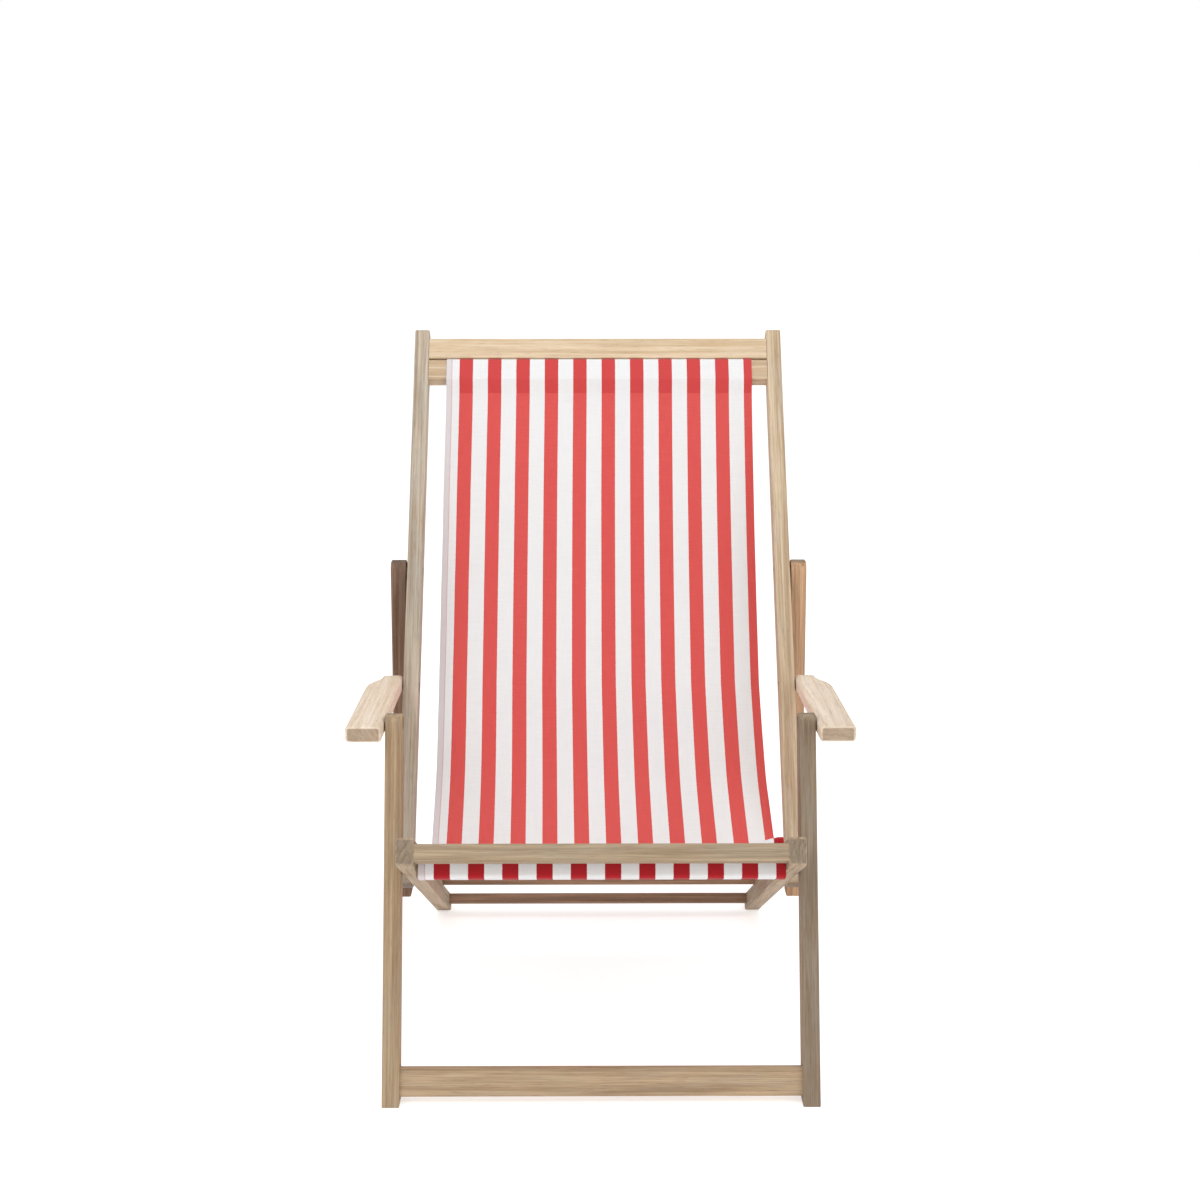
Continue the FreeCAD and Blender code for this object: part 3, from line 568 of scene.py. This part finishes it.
def cloth_piece(name, upper, lower, normal, uv, first, last, material):
    """A closed shell from rows first to last of the cloth's two faces."""
    top, under = upper[first:last + 1], lower[first:last + 1]
    rows, columns = top.shape[:2]
    count = rows * columns
    points = np.vstack([top.reshape(-1, 3), under.reshape(-1, 3)])
    outward = normal[first:last + 1].reshape(-1, 3)
    normals = np.vstack([outward, -outward])
    flat_uv = np.vstack([uv[first:last + 1].reshape(-1, 2)] * 2)

    def at(r, c, side=0):
        # The two faces meet at the outermost columns, where the cloth has no thickness.
        return r * columns + c + (count if side and 0 < c < columns - 1 else 0)

    faces = []
    for r in range(rows - 1):
        for c in range(columns - 1):
            faces.append((at(r, c), at(r, c + 1), at(r + 1, c + 1), at(r + 1, c)))
            faces.append((at(r, c, 1), at(r + 1, c, 1), at(r + 1, c + 1, 1), at(r, c + 1, 1)))
    smooth = len(faces)
    for r, turn in ((0, 1), (rows - 1, -1)):
        for c in range(columns - 1):
            corner = [at(r, c), at(r, c, 1), at(r, c + 1, 1), at(r, c + 1)][::turn]
            faces.append(tuple(dict.fromkeys(corner)))
    mesh = bpy.data.meshes.new(name)
    used = sorted(set(i for f in faces for i in f))
    new = {old: i for i, old in enumerate(used)}
    corners = [tuple(points[i]) for i in used]
    mesh.from_pydata(corners, [], [tuple(new[i] for i in f) for f in faces])
    layer = mesh.uv_layers.new(name=CLOTH_UV)
    loop_vertex = np.zeros(len(mesh.loops), int)
    mesh.loops.foreach_get("vertex_index", loop_vertex)
    used = np.array(used)
    layer.data.foreach_set("uv", flat_uv[used[loop_vertex]].astype(np.float32).ravel())
    mesh.polygons.foreach_set("use_smooth", [True] * len(mesh.polygons))
    edge = np.isin(used % count % columns, (0, columns - 1))
    custom = []
    for polygon in mesh.polygons:
        for i in polygon.vertices:
            whole = polygon.index < smooth and not edge[i]
            custom.append(tuple(normals[used[i]]) if whole else tuple(polygon.normal))
    mesh.normals_split_custom_set(custom)
    mesh.materials.append(material)
    piece = bpy.data.objects.new(name, mesh)
    bpy.context.collection.objects.link(piece)
    return piece


# --- finishes on the CAD nodes -------------------------------------------------------------------
ALONG_X = (0, 0, math.radians(90))


def tilted(degrees):
    return math.radians(-degrees), 0, 0


# Grain directions of the sticks, in degrees from level.
LEG_TURN = tilted(71.3)
SEAT_TURN = (-SEAT_ANGLE, 0, 0)
BACK_TURN = (-BACK_ANGLE, 0, 0)
PROP_TURN = tilted(-90.7)
ARM_TURN = tilted(-3.5)
ENDS = ((108, 94, 78), (146, 131, 112))
# Painted shade: darker end grain for the sticks whose ends lie in shade low under the seat.
SHADED_END_TONES = ((92, 77, 64), (126, 108, 92))
ARM_ENDS = ((134, 110, 88), (168, 142, 116))
# Grain direction; pale, middle and grey tones; greying; the end grain's tones; painted_low_shade, the
# painted shade at the low end.
WOODS = {
    "front_leg_right": (LEG_TURN, (174, 154, 130), (142, 123, 101), (156, 146, 132), 0.55, ENDS, 0.04),
    "front_leg_left": (LEG_TURN, (204, 178, 143), (166, 139, 108), (176, 162, 140), 0.5, ENDS, 0.08),
    "leg_bottom_rail": (ALONG_X, (204, 178, 145), (164, 137, 107), (180, 164, 142), 0.5, ENDS, 0.0),
    "seat_rail_right": (SEAT_TURN, (200, 178, 150), (158, 136, 111), (176, 162, 144), 0.6, ENDS, 0.0),
    "seat_rail_left": (SEAT_TURN, (202, 180, 152), (160, 137, 112), (178, 164, 146), 0.6, ENDS, 0.0),
    "seat_front_rail": (ALONG_X, (196, 174, 145), (160, 138, 111), (176, 162, 141), 0.5, ENDS, 0.0),
    "seat_fabric_rail": (ALONG_X, (178, 156, 128), (140, 118, 94), (158, 144, 126), 0.5, ENDS, 0.0),
    "seat_rear_rail": (ALONG_X, (178, 146, 120), (138, 112, 90), (154, 132, 112), 0.4, SHADED_END_TONES, 0.0),
    "back_stile_right": (BACK_TURN, (228, 208, 178), (186, 160, 130), (206, 195, 177), 0.5, SHADED_END_TONES, 0.06),
    "back_stile_left": (BACK_TURN, (219, 206, 185), (170, 151, 131), (196, 190, 178), 0.65, SHADED_END_TONES, 0.22),
    "back_top_rail": (ALONG_X, (236, 215, 186), (213, 187, 152), (224, 210, 188), 0.35, ENDS, 0.0),
    "back_fabric_rail": (ALONG_X, (228, 207, 178), (198, 171, 138), (214, 200, 178), 0.35, ENDS, 0.0),
    # Painted light and shade: the two prop stiles are one wood, the right one painted paler for light and
    # the left one painted darker for shade.
    "prop_stile_right": (PROP_TURN, (222, 184, 146), (174, 136, 104), (190, 160, 130), 0.4, ENDS, 0.0),
    "prop_stile_left": (PROP_TURN, (150, 120, 98), (110, 82, 62), (134, 114, 98), 0.5, SHADED_END_TONES, 0.0),
    "prop_cross_rail": (ALONG_X, (178, 146, 116), (138, 110, 88), (154, 132, 110), 0.4, SHADED_END_TONES, 0.0),
    "armrest_right": (ARM_TURN, (250, 237, 220), (226, 207, 183), (242, 232, 219), 0.4, ARM_ENDS, 0.0),
    "armrest_left": (ARM_TURN, (250, 236, 218), (227, 206, 180), (242, 231, 216), 0.4, ARM_ENDS, 0.0),
}
DULL_PIECES = ("inserts", "washers")


def finishes():
    bright = steel("zinc", (196, 196, 192), 0.30, 1.3)
    dull = steel("dull_zinc", (150, 148, 142), 0.42, 4.1)
    for seed, (name, node) in enumerate(sorted(frame["nodes"].items())):
        if name in WOODS:
            finish = wood("wood_" + name, seed + 1, *WOODS[name])
        else:
            finish = dull if any(word in name for word in DULL_PIECES) else bright
        node.data.materials.clear()
        node.data.materials.append(finish)


finishes()
sling()
studio()
camera()
bpy.context.scene.view_settings.view_transform = "Standard"
